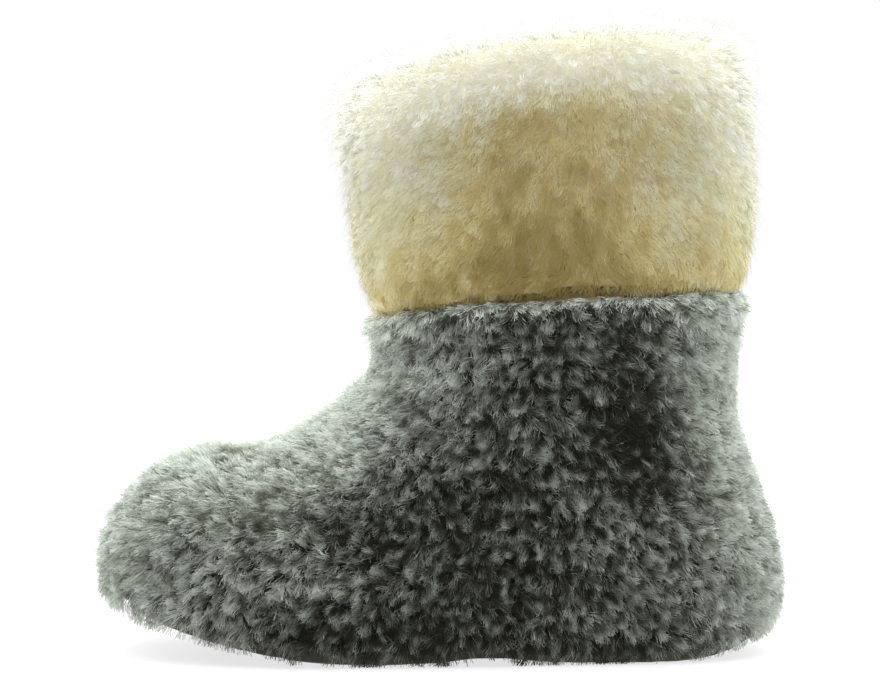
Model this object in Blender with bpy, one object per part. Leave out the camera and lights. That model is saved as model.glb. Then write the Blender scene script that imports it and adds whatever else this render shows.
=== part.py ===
"""A sheepskin slipper boot for the left foot, standing on its sole.

Metres, +Z up, floor at z = 0. The toe points along -Y and the outer side of the foot is +X.
The upper is a wall of sheepskin round a last: its inner skin is the last itself, and its outer
skin is the last moved out by the depth of the pile. Sizes below are in millimetres.
"""

import math
from collections import namedtuple

import bpy
import numpy as np

MM = 0.001
GAP = 0.3  # between two pieces that touch

# The last, which is the room inside the upper down to the outsole.
BALL_WIDTH = 93.0
TOE_Y = -125.25  # the last's toe tip
TOE_UP = 37.0  # its height above the floor
TOE_SWAY = -7.0  # how far the tip lies towards the big toe's side
RING_POINTS = 36
ROW_STEPS = 2  # rings from one row of the table to the next

# The outsole, a soft plate that bends up at the toe and the heel and has a low arch.
SOLE_LENGTH = 260.0
SOLE_TOE_Y = -130.0
SOLE_THICK = 5.0
SOLE_EDGE = 0.8  # the chamfer round its edges
SOLE_STATIONS = 30
TOE_SPRING = 18.0
SPRING_FROM = -38.0
SPRING_POWER = 1.5
ARCH = 2.5
ARCH_FROM, ARCH_TO = -6.0, 46.0
HEEL_LIFT = 8.0
LIFT_FROM = 90.0
TOE_ROUND = 56.0  # how far back from its tip the outline is still rounding
HEEL_ROUND = 42.0

INSOLE_THICK = 9.0
HEM_UP = 1.2  # the outer pile ends this far above the outsole's underside
HEM_TOE_UP = 2.4  # and this much higher again round the toe and the ball
HEM_FROM, HEM_TO = 30.0, -65.0  # between these it rises
WELL_BELOW = 60.0  # how far down the cutters reach

# One row for each section of the last, from the toe to the collar. A section runs from a front
# point (on the vamp, then up the shin) to a back point (under the foot, round the heel, then up
# the calf). at: behind the toe tip. up: above the floor. half: the section's half width as a
# share of half the ball width. sway: how far its middle lies to the outer side. widest: where it
# is widest, from its back point (0) to its front point (1). The powers square off its back and
# front halves, as in a superellipse. wall: sheepskin outside the last. bow: how far the
# section's middle arches up.
Section = namedtuple(
    "Section",
    "front_at front_up back_at back_up half sway widest back_power front_power wall bow",
)
LAST = (
    Section(0.7, 43.5, 0.7, 31.0, 0.15, -7.0, 0.50, 2.0, 2.0, 14.5, 0),  # toe tip
    Section(2.7, 49.5, 2.7, 23.5, 0.33, -6.6, 0.50, 2.2, 2.1, 14.5, 0),
    Section(6.5, 54.6, 6.5, 17.0, 0.51, -6.0, 0.48, 2.5, 2.2, 14.5, 0),
    Section(12.5, 59.2, 12.5, 11.5, 0.66, -5.2, 0.45, 2.9, 2.2, 14.5, 0),
    Section(21.0, 64.6, 21.0, 6.5, 0.80, -4.2, 0.42, 3.4, 2.2, 14.5, 0),  # toe box
    Section(33.0, 68.9, 33.0, 2.5, 0.90, -3.0, 0.40, 3.8, 2.2, 14.5, 0),
    Section(48.0, 70.6, 50.0, 0.0, 0.97, -1.6, 0.37, 4.2, 2.2, 14.5, 0),
    Section(62.0, 72.8, 72.0, -1.0, 1.00, 0.0, 0.35, 4.5, 2.2, 14.5, 0),  # ball
    Section(75.0, 77.8, 96.0, -1.0, 0.98, 1.2, 0.35, 4.5, 2.2, 14.5, 0),
    Section(87.0, 85.5, 122.0, 0.0, 0.94, 2.0, 0.36, 4.4, 2.2, 14.5, 0),  # waist
    Section(97.5, 95.0, 150.0, 0.0, 0.91, 2.0, 0.38, 4.0, 2.3, 14.5, 0),  # instep
    Section(104.0, 104.0, 180.0, -1.0, 0.89, 1.4, 0.41, 3.6, 2.5, 14.5, 0),
    Section(107.5, 110.0, 207.0, -1.0, 0.88, 0.8, 0.44, 3.2, 2.65, 14.5, 0),
    Section(109.0, 114.5, 230.0, 2.5, 0.88, 0.4, 0.47, 3.0, 2.75, 14.5, 0),  # under the heel
    Section(109.5, 118.0, 244.0, 12.0, 0.89, 0.2, 0.50, 2.8, 2.75, 14.5, 0),
    Section(109.9, 121.5, 250.5, 27.0, 0.90, 0.0, 0.52, 2.7, 2.65, 14.5, 0),  # heel's back
    Section(110.2, 125.0, 247.0, 49.0, 0.91, 0.0, 0.52, 2.5, 2.5, 14.5, 0),
    Section(110.4, 128.2, 238.0, 75.0, 0.91, 0.0, 0.51, 2.4, 2.35, 14.5, 1),
    Section(110.6, 131.3, 232.0, 102.0, 0.91, 0.0, 0.50, 2.3, 2.25, 14.5, 2),  # ankle
    Section(110.8, 134.6, 233.0, 142.0, 0.91, 0.0, 0.50, 2.3, 2.2, 15.5, 4),  # below the cuff
    Section(110.9, 140.0, 232.5, 148.0, 0.91, 0.0, 0.50, 2.3, 2.2, 8.0, 4),  # inside the cuff
    Section(110.0, 178.0, 231.0, 190.0, 0.92, 0.0, 0.50, 2.3, 2.2, 8.0, 5),
    Section(105.5, 217.0, 227.5, 231.0, 0.94, 0.0, 0.50, 2.3, 2.2, 8.0, 7),  # collar
)
COLLAR = len(LAST) - 1
CUFF_WALL = LAST[COLLAR].wall

# The outsole's outline before its ends are rounded: at is behind its toe, and half and sway are
# in millimetres.
Outline = namedtuple("Outline", "at half sway")
SOLE = (
    Outline(0.0, 41.0, -7.0),
    Outline(40.0, 46.5, -3.6),
    Outline(78.0, 49.5, 0.4),  # ball
    Outline(115.0, 46.5, 2.2),
    Outline(145.0, 43.5, 2.2),  # waist
    Outline(200.0, 41.0, 0.5),
    Outline(260.0, 40.0, 0.0),  # heel
)

# The cuff's profile, once round its hook. below: rows of LAST below the collar. out: outside the
# last. rise: above the collar's edge.
Hook = namedtuple("Hook", "below out rise")
CUFF = (
    Hook(2.0, CUFF_WALL + GAP, 0),  # up the shaft's outer skin
    Hook(1.5, CUFF_WALL + GAP, 0),
    Hook(1.0, CUFF_WALL + GAP, 0),
    Hook(0.5, CUFF_WALL + GAP, 0),
    Hook(0.0, CUFF_WALL + GAP, GAP),  # over the collar's edge
    Hook(0.0, -GAP, GAP),
    Hook(0.5, -GAP, 0),  # down its inner skin
    Hook(1.0, -GAP, 0),
    Hook(1.1, -2.5, 0),  # end of the inner leg
    Hook(1.1, -5.0, 0),
    Hook(0.95, -7.3, 0),
    Hook(0.5, -8.2, 0),
    Hook(0.1, -8.8, 0),
    Hook(0.0, -8.0, 5),  # back up and over the roll
    Hook(0.0, -4.0, 11),
    Hook(0.0, 2.0, 14.8),
    Hook(0.0, 9.0, 15.6),
    Hook(0.0, 15.5, 13.0),
    Hook(0.0, 20.5, 8.5),
    Hook(0.0, 23.5, 2),
    Hook(0.25, 24.0, 0),  # down the outside
    Hook(0.6, 23.6, 0),
    Hook(1.0, 22.8, 0),
    Hook(1.25, 21.8, 0),
    Hook(1.5, 20.2, 0),
    Hook(1.75, 17.6, 0),
    Hook(2.0, 14.5, 0),  # the turned-down edge
    Hook(2.1, 11.5, 0),
)


def clear_scene():
    for thing in list(bpy.data.objects):
        bpy.data.objects.remove(thing, do_unlink=True)


def between_rows(rows, place):
    """The row at a place such as 3.5, on a smooth curve through each column that never overshoots."""
    values = np.array(rows, float)
    steps = np.diff(values, axis=0)
    before, after = steps[:-1], steps[1:]
    turning = before * after <= 0
    total = np.where(turning, 1.0, before + after)
    slopes = np.vstack([steps[:1], np.where(turning, 0.0, 2 * before * after / total), steps[-1:]])
    low = min(int(place), len(rows) - 2)
    t = place - low
    start = values[low] * (1 + 2 * t) * (1 - t) ** 2 + slopes[low] * t * (1 - t) ** 2
    end = values[low + 1] * t * t * (3 - 2 * t) + slopes[low + 1] * t * t * (t - 1)
    return type(rows[0])(*(start + end))


def last_ring(place):
    """Points round the last's section at a place in LAST, starting at its outer side."""
    row = between_rows(LAST, place)
    front = np.array([0.0, TOE_Y + row.front_at, row.front_up])
    back = np.array([0.0, TOE_Y + row.back_at, row.back_up])
    points = []
    for k in range(RING_POINTS):
        angle = 2 * math.pi * k / RING_POINTS
        across, along = math.cos(angle), math.sin(angle)
        power = row.front_power if along > 0 else row.back_power
        reach = 1 - row.widest if along > 0 else row.widest
        share = row.widest + math.copysign(abs(along) ** (2 / power), along) * reach
        point = back + (front - back) * share
        half = row.half * BALL_WIDTH / 2
        point[0] = row.sway + math.copysign(abs(across) ** (2 / power), across) * half
        point[2] += row.bow * 4 * share * (1 - share)
        points.append(point)
    return np.array(points)


def outward(place):
    """Unit vectors out of the last at each point of last_ring(place)."""
    step = 0.02
    lower = last_ring(max(place - step, 0))
    upper = last_ring(min(place + step, COLLAR))
    middle = last_ring(place)
    round_it = np.roll(middle, -1, axis=0) - np.roll(middle, 1, axis=0)
    normals = np.cross(upper - lower, round_it)
    return normals / np.linalg.norm(normals, axis=1, keepdims=True)


def skin_ring(place, out):
    """The ring that lies a given distance outside the last."""
    return last_ring(place) + outward(place) * out


def toe_point(out):
    return np.array([[TOE_SWAY, TOE_Y - out, TOE_UP]])


def wall_at(place):
    return between_rows(LAST, place).wall


def sole_up(y):
    """Height of the outsole's underside: flat at the heel and the ball, sprung at the toe."""
    if y < SPRING_FROM:
        share = (SPRING_FROM - y) / (SPRING_FROM - SOLE_TOE_Y)
        return TOE_SPRING * share**SPRING_POWER
    if ARCH_FROM < y < ARCH_TO:
        return ARCH * math.sin(math.pi * (y - ARCH_FROM) / (ARCH_TO - ARCH_FROM)) ** 2
    if y > LIFT_FROM:
        return HEEL_LIFT * ((y - LIFT_FROM) / (SOLE_TOE_Y + SOLE_LENGTH - LIFT_FROM)) ** 2
    return 0.0


def hem_up(y):
    """Height at which the outer pile ends."""
    toe_share = min(max((HEM_FROM - y) / (HEM_FROM - HEM_TO), 0.0), 1.0)
    return sole_up(y) + HEM_UP + HEM_TOE_UP * toe_share


def sole_rows(margin):
    """(y, inner x, outer x) along the outsole's outline, grown by a margin."""
    rows = []
    reach = SOLE_LENGTH / 2 + margin
    middle = SOLE_TOE_Y + SOLE_LENGTH / 2
    places = [row.at for row in SOLE]
    for k in range(SOLE_STATIONS + 1):
        y = middle - reach * math.cos(math.pi * (0.02 + 0.96 * k / SOLE_STATIONS))
        at = min(max(y - SOLE_TOE_Y, 0.0), SOLE_LENGTH)
        row = between_rows(SOLE, np.interp(at, places, range(len(SOLE))))
        from_toe = min((y - middle + reach) / TOE_ROUND, 1.0)
        from_heel = min((middle + reach - y) / HEEL_ROUND, 1.0)
        rounding = math.sqrt(1 - (1 - from_toe) ** 2) * math.sqrt(1 - (1 - from_heel) ** 2)
        half = (row.half + margin) * rounding
        rows.append((y, row.sway - half, row.sway + half))
    return rows


def add_piece(name, points, faces, material=None):
    mesh = bpy.data.meshes.new(name)
    mesh.from_pydata((np.array(points) * MM).tolist(), [], faces)
    piece = bpy.data.objects.new(name, mesh)
    bpy.context.scene.collection.objects.link(piece)
    if material:
        mesh.materials.append(material)
        mesh.shade_smooth()
        mesh.set_sharp_from_angle(angle=math.radians(40))
    return piece


def add_cutter(name, points, faces):
    cutter = add_piece(name, points, faces)
    cutter.hide_render = True
    cutter.display_type = "WIRE"
    return cutter


def combine(piece, other, operation):
    change = piece.modifiers.new(f"{operation} {other.name}", "BOOLEAN")
    change.operation = operation
    change.object = other
    change.solver = "EXACT"


def material(name, color, roughness):
    made = bpy.data.materials.new(name)
    made.use_nodes = True
    shader = made.node_tree.nodes["Principled BSDF"]
    shader.inputs["Base Color"].default_value = (*color, 1.0)
    shader.inputs["Roughness"].default_value = roughness
    return made


def ring_faces(first, second, count, flip=False):
    """Quads between two rings whose points start at these indices."""
    faces = []
    for k in range(count):
        after = (k + 1) % count
        face = (first + k, second + k, second + after, first + after)
        faces.append(face[::-1] if flip else face)
    return faces


def fan_faces(point, ring, count, flip=False):
    faces = []
    for k in range(count):
        face = (point, ring + k, ring + (k + 1) % count)
        faces.append(face[::-1] if flip else face)
    return faces


def last_places():
    return [k / ROW_STEPS for k in range(COLLAR * ROW_STEPS + 1)]


def last_form(inset):
    """The closed form of the last, smaller by an inset, with its own flat lid at the collar."""
    places = last_places()
    points = [toe_point(-inset)] + [skin_ring(place, -inset) for place in places]
    faces = fan_faces(0, 1, RING_POINTS)
    for k in range(len(places) - 1):
        faces += ring_faces(1 + k * RING_POINTS, 1 + (k + 1) * RING_POINTS, RING_POINTS)
    top = 1 + (len(places) - 1) * RING_POINTS
    faces.append(tuple(reversed(range(top, top + RING_POINTS))))
    return np.vstack(points), faces


def upper_wall():
    """The sheepskin wall before it is cut open underneath: outer skin, inner skin, collar edge."""
    places = last_places()
    outer = [toe_point(wall_at(0))] + [skin_ring(place, wall_at(place)) for place in places]
    inner = [toe_point(0)] + [skin_ring(place, 0) for place in places]
    inner_start = 1 + len(places) * RING_POINTS
    faces = fan_faces(0, 1, RING_POINTS)
    faces += fan_faces(inner_start, inner_start + 1, RING_POINTS, flip=True)
    for k in range(len(places) - 1):
        ring, above = 1 + k * RING_POINTS, 1 + (k + 1) * RING_POINTS
        faces += ring_faces(ring, above, RING_POINTS)
        faces += ring_faces(inner_start + ring, inner_start + above, RING_POINTS, flip=True)
    collar = 1 + (len(places) - 1) * RING_POINTS
    faces += ring_faces(collar, inner_start + collar, RING_POINTS)
    return np.vstack(outer + inner), faces


def plate(rows, under, over):
    """A closed plate between two heights that depend on y, over an outline's rows."""
    points, faces = [], []
    for y, inner_x, outer_x in rows:
        low, high = under(y), over(y)
        points += [(inner_x, y, low), (outer_x, y, low), (outer_x, y, high), (inner_x, y, high)]
    for k in range(len(rows) - 1):
        faces += ring_faces(4 * k, 4 * k + 4, 4)
    faces.append((0, 1, 2, 3))
    end = 4 * (len(rows) - 1)
    faces.append((end + 3, end + 2, end + 1, end))
    return points, faces


def add_outsole(suede):
    points, faces = plate(sole_rows(0), sole_up, lambda y: sole_up(y) + SOLE_THICK)
    outsole = add_piece("outsole", points, faces, suede)
    chamfer = outsole.modifiers.new("Edge chamfer", "BEVEL")
    chamfer.width = SOLE_EDGE * MM
    chamfer.segments = 1
    chamfer.limit_method = "ANGLE"
    chamfer.angle_limit = math.radians(50)
    return outsole


def add_upper(wool):
    upper = add_piece("upper", *upper_wall(), wool)
    hem_rows = [(y, -150.0, 150.0) for y in np.linspace(-170.0, 170.0, 35)]
    hem = add_cutter("hem_cutter", *plate(hem_rows, lambda y: -WELL_BELOW, hem_up))
    seat_top = SOLE_THICK + GAP
    seat = add_cutter(
        "sole_seat_cutter",
        *plate(sole_rows(GAP), lambda y: -WELL_BELOW, lambda y: sole_up(y) + seat_top),
    )
    combine(upper, hem, "DIFFERENCE")
    combine(upper, seat, "DIFFERENCE")
    return upper


def add_insole(wool):
    slab_rows = [(y, -100.0, 100.0) for y in np.linspace(-140.0, 140.0, 57)]
    low = SOLE_THICK + GAP
    slab = plate(slab_rows, lambda y: sole_up(y) + low, lambda y: sole_up(y) + low + INSOLE_THICK)
    insole = add_piece("insole", *slab, wool)
    combine(insole, add_cutter("last_cutter", *last_form(GAP)), "INTERSECT")
    return insole


def add_cuff(wool):
    points, faces = [], []
    for hook in CUFF:
        ring = skin_ring(COLLAR - hook.below, hook.out)
        ring[:, 2] += hook.rise
        points.append(ring)
    for k in range(len(CUFF)):
        ring, after = k * RING_POINTS, (k + 1) % len(CUFF) * RING_POINTS
        faces += ring_faces(ring, after, RING_POINTS, flip=True)
    return add_piece("cuff", np.vstack(points), faces, wool)


def build():
    clear_scene()
    grey_wool = material("grey_wool", (0.13, 0.13, 0.115), 0.95)
    cream_wool = material("cream_wool", (0.72, 0.66, 0.50), 0.95)
    suede = material("suede", (0.17, 0.14, 0.12), 0.9)
    add_outsole(suede)
    add_insole(cream_wool)
    add_upper(grey_wool)
    add_cuff(cream_wool)


build()
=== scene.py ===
"""The look of the sheepskin slipper boot, built round its CAD frame.

Lengths are in millimetres until a mesh is made, with the toe along -Y, the heel along +Y, the
outer side of the foot along +X and the floor at z = 0. Each skin is its CAD solid taken in by
the depth of the pile, with the listed creases pressed into it, and the pile is grown from it as
joined meshes of fine strands that gather into tufts. A strand's tone, 0 to 1, picks its colours.
"""

import bpy
import numpy as np
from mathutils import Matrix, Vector, noise
from mathutils.bvhtree import BVHTree
from mathutils.kdtree import KDTree


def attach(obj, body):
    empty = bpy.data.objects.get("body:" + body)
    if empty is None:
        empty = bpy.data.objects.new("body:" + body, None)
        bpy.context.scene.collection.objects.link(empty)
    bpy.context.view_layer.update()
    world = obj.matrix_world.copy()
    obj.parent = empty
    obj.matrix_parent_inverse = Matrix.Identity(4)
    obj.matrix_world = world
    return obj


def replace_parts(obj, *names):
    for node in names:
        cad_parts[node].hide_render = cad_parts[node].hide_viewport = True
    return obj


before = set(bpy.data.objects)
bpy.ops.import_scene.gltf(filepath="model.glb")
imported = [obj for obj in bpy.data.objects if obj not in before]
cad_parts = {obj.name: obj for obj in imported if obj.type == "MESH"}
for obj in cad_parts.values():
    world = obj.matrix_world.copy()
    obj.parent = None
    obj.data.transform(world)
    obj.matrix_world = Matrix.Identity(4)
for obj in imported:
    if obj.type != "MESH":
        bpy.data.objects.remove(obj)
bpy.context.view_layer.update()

MM = 0.001
BODY = "root"
UP = np.array([0.0, 0.0, 1.0])
LEVEL = np.array([1.0, 1.0, 0.0])

# The view: about a metre from the outer side, a little above the ankle's middle.
CAMERA_AT = (1100.0, 0.0, 155.0)
CAMERA_TO = (0.0, 0.0, 125.3)
CAMERA_LENS = 110.4
CAMERA_SENSOR = 36.0

# Brightness of the room: behind the slipper, in front of it, overhead.
BEHIND, BEFORE, OVERHEAD = 3.9, 0.18, 3.3
WHITE = (1.0, 1.0, 1.0, 1.0)
FLOOR_SIDE = 4000.0
FLOOR_GLOW = 0.72  # makes the floor as white as the room round it
FLOOR_CLEAR = 0.4  # no strand's tip is lower than this

# The line through the middle of the hollow, which tells an outer face from an inner one.
CORE = ((0.0, -85.0, 40.0), (0.0, 0.0, 45.0), (0.0, 45.0, 60.0), (0.0, 45.0, 240.0))
SHAFT_AXIS = np.array([0.0, 43.0, 0.0])

# How many strands each pile has.
GREY_STRANDS = 430000
CUFF_STRANDS = 225000
LINING_STRANDS = 55000
INSOLE_STRANDS = 22000

# The grey pile is three pieces, parted at these distances along the foot.
TOE_END = -42.0
HEEL_START = 52.0

# Sides of the foot that a crease or patch is on. One on the centre line counts once, as outer.
BOTH = (1, -1)
OUTER = (1,)
INNER = (-1,)

# Creases and ridges pressed into the grey pile: sides, how far in from the surface (out if
# negative), half the trough's width, and the points it follows on the outer side.
CREASES = (
    (BOTH, 5.0, 15.0, ((52, 80, 128), (53, 79, 108), (55, 78, 90), (56, 74, 76))),
    (BOTH, -2.2, 9.0, ((50, 122, 118), (54, 112, 96), (56, 102, 80))),
    (BOTH, 2.6, 10.0, ((0, -22, 118), (34, -8, 100), (52, 16, 84), (56, 40, 74))),
    (OUTER, 2.0, 9.0, ((30, -52, 76), (50, -38, 60), (56, -24, 44))),
    (INNER, 2.0, 9.0, ((28, -46, 80), (50, -30, 62), (56, -14, 50))),
    (BOTH, -2.0, 14.0, ((58, -60, 34), (60, -30, 36), (60, 0, 34))),
    (BOTH, 2.2, 9.0, ((58, 70, 40), (54, 100, 34), (40, 124, 34))),
    (OUTER, -3.5, 10.0, ((0, -112, 77), (0, -104, 82), (0, -96, 84))),
    (OUTER, -3.5, 14.0, ((0, -50, 90), (0, -42, 104))),
    (OUTER, -3.0, 11.0, ((-8, 139, 20), (8, 139, 20))),
    (OUTER, -2.0, 15.0, ((-12, -138, 42), (12, -138, 42))),
)

# Patches where the wool's tips are paler (positive) or darker, partly the wool's own unevenness
# and partly painted light and shade: sides, change of tone, the radius over which it fades, and
# its centre on the outer side.
GREY_LIGHT_AND_TONE_PATCHES = (
    # The toe, its sole side and the vamp.
    (OUTER, -0.22, 44.0, (0, -78, 84)),
    (OUTER, -0.25, 32.0, (0, -138, 40)),
    (BOTH, 0.26, 24.0, (50, -80, 26)),
    (BOTH, 0.24, 10.0, (46, -85, 41)),
    (BOTH, -0.28, 12.0, (50, -71, 49)),
    (BOTH, 0.24, 12.0, (56, -54, 32)),
    (BOTH, -0.10, 14.0, (40, -62, 60)),
    (BOTH, 0.16, 14.0, (58, -34, 34)),
    (BOTH, -0.12, 20.0, (58, -20, 46)),
    # The middle, low down.
    (BOTH, 0.32, 10.0, (58, -8, 40)),
    (BOTH, -0.14, 9.0, (58, 8, 41)),
    (BOTH, 0.14, 13.0, (58, 40, 30)),
    (BOTH, 0.18, 14.0, (57, 40, 57)),
    (BOTH, 0.12, 9.0, (57, 8, 57)),
    (BOTH, 0.20, 13.0, (56, 60, 60)),
    (BOTH, 0.22, 12.0, (56, 52, 73)),
    # The middle, up to the cuff.
    (BOTH, 0.20, 13.0, (46, -10, 102)),
    (BOTH, 0.47, 14.0, (54, 6, 88)),
    (BOTH, -0.20, 9.0, (57, 24, 74)),
    (BOTH, 0.26, 12.0, (54, 41, 84)),
    (BOTH, 0.18, 9.0, (54, 39, 104)),
    (BOTH, 0.38, 15.0, (53, 8, 121)),
    (BOTH, -0.34, 14.0, (44, -2, 136)),
    (BOTH, -0.14, 10.0, (54, 16, 104)),
    (BOTH, 0.24, 12.0, (58, 32, 134)),
    (BOTH, 0.20, 12.0, (55, 58, 130)),
    # The hollow behind the ankle, darkened as painted shade, and the heel.
    (BOTH, -0.26, 16.0, (54, 79, 94)),
    (BOTH, 0.35, 16.0, (54, 92, 133)),
    (BOTH, 0.31, 26.0, (54, 84, 36)),
    (BOTH, 0.20, 10.0, (54, 86, 57)),
    (BOTH, 0.14, 9.0, (55, 70, 26)),
    (BOTH, -0.16, 14.0, (50, 98, 92)),
    (BOTH, -0.14, 10.0, (56, 68, 42)),
    (BOTH, 0.12, 13.0, (42, 107, 34)),
    (OUTER, -0.34, 44.0, (0, 128, 76)),
)
# Patches on the cuff, partly the wool's own unevenness and partly painted light and shade: darker over
# its middle, paler towards its edges and its top.
CUFF_LIGHT_AND_TONE_PATCHES = (
    (BOTH, -0.22, 34.0, (66, 48, 180)),
    (BOTH, -0.18, 20.0, (66, 44, 152)),
    (BOTH, 0.24, 28.0, (66, 88, 186)),
    (BOTH, -0.14, 22.0, (38, 122, 178)),
    (BOTH, 0.12, 22.0, (62, 6, 168)),
    (BOTH, 0.18, 20.0, (62, 106, 156)),
    (BOTH, 0.17, 22.0, (62, -10, 202)),
    (BOTH, 0.22, 18.0, (66, 82, 154)),
    (BOTH, 0.16, 26.0, (60, 20, 236)),
    (BOTH, 0.10, 26.0, (60, 80, 244)),
)

# A strand's colour at its tip and at its root, by tone. The cream wool's lowest tones are kept
# for the grey stray hairs of its outline.
GREY_TIPS = (
    (0.0, (0.028, 0.029, 0.020)),
    (0.22, (0.100, 0.106, 0.080)),
    (0.45, (0.316, 0.340, 0.282)),
    (0.65, (0.545, 0.592, 0.525)),
    (0.85, (0.72, 0.775, 0.70)),
    (1.0, (0.83, 0.88, 0.81)),
)
GREY_ROOTS = (
    (0.0, (0.008, 0.008, 0.004)),
    (0.6, (0.030, 0.030, 0.019)),
    (1.0, (0.310, 0.325, 0.275)),
)
STRAY_GREY = (0.56, 0.55, 0.48)
CREAM_TIPS = (
    (0.0, STRAY_GREY),
    (0.04, STRAY_GREY),
    (0.05, (0.55, 0.45, 0.18)),
    (0.35, (0.86, 0.78, 0.43)),
    (0.6, (0.93, 0.915, 0.69)),
    (0.85, (0.965, 0.975, 0.84)),
    (1.0, (0.99, 1.0, 0.97)),
)
CREAM_ROOTS = (
    (0.0, STRAY_GREY),
    (0.04, STRAY_GREY),
    (0.05, (0.45, 0.33, 0.09)),
    (0.5, (0.80, 0.67, 0.29)),
    (0.8, (0.94, 0.93, 0.78)),
    (1.0, (0.965, 0.97, 0.94)),
)

# Darker and lighter colour of each felt or hide. The lit felts are painted light, which a mesh
# attribute fades in where the pile is painted paler.
GREY_FELT = ((0.012, 0.012, 0.010), (0.045, 0.044, 0.037))
LIT_GREY_FELT = ((0.13, 0.137, 0.117), (0.29, 0.305, 0.265))
CREAM_FELT = ((0.34, 0.26, 0.12), (0.60, 0.51, 0.31))
CUFF_FELT = ((0.50, 0.40, 0.20), (0.75, 0.66, 0.42))
LIT_CUFF_FELT = ((0.87, 0.855, 0.66), (0.955, 0.955, 0.81))
SUEDE = ((0.045, 0.044, 0.038), (0.12, 0.115, 0.10))
FLOOR_PAPER = ((0.21, 0.21, 0.21), (0.23, 0.23, 0.23))


# ---------------------------------------------------------------- arrays and surfaces


def smoothstep(low, high, values):
    share = np.clip((values - low) / (high - low), 0, 1)
    return share * share * (3 - 2 * share)


def unit(vectors):
    return vectors / np.maximum(np.linalg.norm(vectors, axis=1, keepdims=True), 1e-9)


def along_surface(vectors, normals):
    flat = vectors - np.einsum("ij,ij->i", vectors, normals)[:, None] * normals
    return unit(flat)


def turned(vectors, normals, angles):
    """Vectors in the surface, turned about its normals."""
    across = np.cross(normals, vectors)
    return vectors * np.cos(angles)[:, None] + across * np.sin(angles)[:, None]


def soft_noise(points, size, seed):
    """Smooth noise of about -1 to 1, with features of a given size."""
    shift = Vector((seed * 7.1, seed * 3.7, seed * 5.3))
    return np.array([noise.noise(Vector(p) / size + shift) for p in points]) * 1.6


def read(items, name, width, kind=float):
    values = np.empty(len(items) * width, np.int32 if kind is int else np.float32)
    items.foreach_get(name, values)
    return values.reshape(-1, width).astype(kind)


def link(piece):
    bpy.context.scene.collection.objects.link(piece)
    return piece


class Surface:
    """A mesh's points, normals, triangles and edges as arrays, in millimetres."""

    def __init__(self, mesh):
        mesh.calc_loop_triangles()
        self.points = read(mesh.vertices, "co", 3) / MM
        self.normals = read(mesh.vertices, "normal", 3)
        self.triangles = read(mesh.loop_triangles, "vertices", 3, int)
        self.edges = read(mesh.edges, "vertices", 2, int)

    def tree(self):
        return BVHTree.FromPolygons(self.points.tolist(), self.triangles.tolist())

    def smoothed(self, values, turns):
        """A value for each vertex, spread over its neighbours this many times."""
        starts, ends = self.edges.T
        count = np.bincount(self.edges.ravel(), minlength=len(values))
        for _ in range(turns):
            total = np.bincount(starts, values[ends], len(values))
            total += np.bincount(ends, values[starts], len(values))
            values = 0.5 * values + 0.5 * total / np.maximum(count, 1)
        return values


def remeshed(node, name, voxel, turns):
    """A CAD solid's mesh, rebuilt evenly and softened, as a new piece."""
    piece = link(bpy.data.objects.new(name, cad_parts[node].data.copy()))
    weld = piece.modifiers.new("weld", "WELD")
    weld.merge_threshold = 0.02 * MM
    remesh = piece.modifiers.new("remesh", "REMESH")
    remesh.mode = "VOXEL"
    remesh.voxel_size = voxel * MM
    soften = piece.modifiers.new("soften", "SMOOTH")
    soften.factor = 0.5
    soften.iterations = turns
    bpy.context.view_layer.update()
    made = piece.evaluated_get(bpy.context.evaluated_depsgraph_get())
    mesh = bpy.data.meshes.new_from_object(made)
    piece.modifiers.clear()
    piece.data = mesh
    mesh.name = name
    mesh.materials.clear()
    mesh.shade_smooth()
    return piece


def nearest_step(points, start, end):
    """The start of a segment, and the step from it to the place nearest to each point."""
    start, end = np.array(start, float), np.array(end, float)
    way = end - start
    share = np.clip((points - start) @ way / (way @ way), 0, 1)
    return start, share[:, None] * way


def core_points(points):
    """The nearest point of the hollow's core line to each point."""
    best = np.full(len(points), np.inf)
    nearest = np.zeros_like(points)
    for ends in zip(CORE[:-1], CORE[1:]):
        start, step = nearest_step(points, *ends)
        spot = start + step
        far = np.linalg.norm(points - spot, axis=1)
        closer = far < best
        best[closer] = far[closer]
        nearest[closer] = spot[closer]
    return nearest


def facing_out(points, normals):
    return np.einsum("ij,ij->i", normals, points - core_points(points)) > 0


def thickness(surface, most=40.0, skip=0.3):
    """How far it is through the solid, straight in from each vertex."""
    tree = surface.tree()
    found = np.full(len(surface.points), most)
    for k, (point, normal) in enumerate(zip(surface.points, surface.normals)):
        inward = Vector(-normal)
        start = Vector(point) + inward * skip
        far = tree.ray_cast(start, inward, most)[3]
        if far is not None:
            found[k] = far + skip
    return found


def distance_to(points, nodes, most=60.0):
    """How far each point is from the nearest of these CAD nodes."""
    far = np.full(len(points), np.inf)
    for node in nodes:
        tree = Surface(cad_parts[node].data).tree()
        found = [tree.find_nearest(Vector(p), most)[3] for p in points]
        far = np.minimum(far, [most if f is None else f for f in found])
    return far


def path_distance(points, path):
    best = np.full(len(points), np.inf)
    for ends in zip(path[:-1], path[1:]):
        start, step = nearest_step(points, *ends)
        best = np.minimum(best, np.linalg.norm(points - start - step, axis=1))
    return best


def crease_depth(points):
    depth = np.zeros(len(points))
    for sides, deep, width, path in CREASES:
        for side in sides:
            mirrored = [(side * x, y, z) for x, y, z in path]
            depth += deep * np.exp(-((path_distance(points, mirrored) / width) ** 2))
    return depth


def patch_tone(points, patches):
    tone = np.zeros(len(points))
    for sides, change, radius, (x, y, z) in patches:
        for side in sides:
            far = np.linalg.norm(points - np.array([side * x, y, z], float), axis=1)
            tone += change * np.exp(-((far / radius) ** 2))
    return tone


# ---------------------------------------------------------------- places on the slipper


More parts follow.
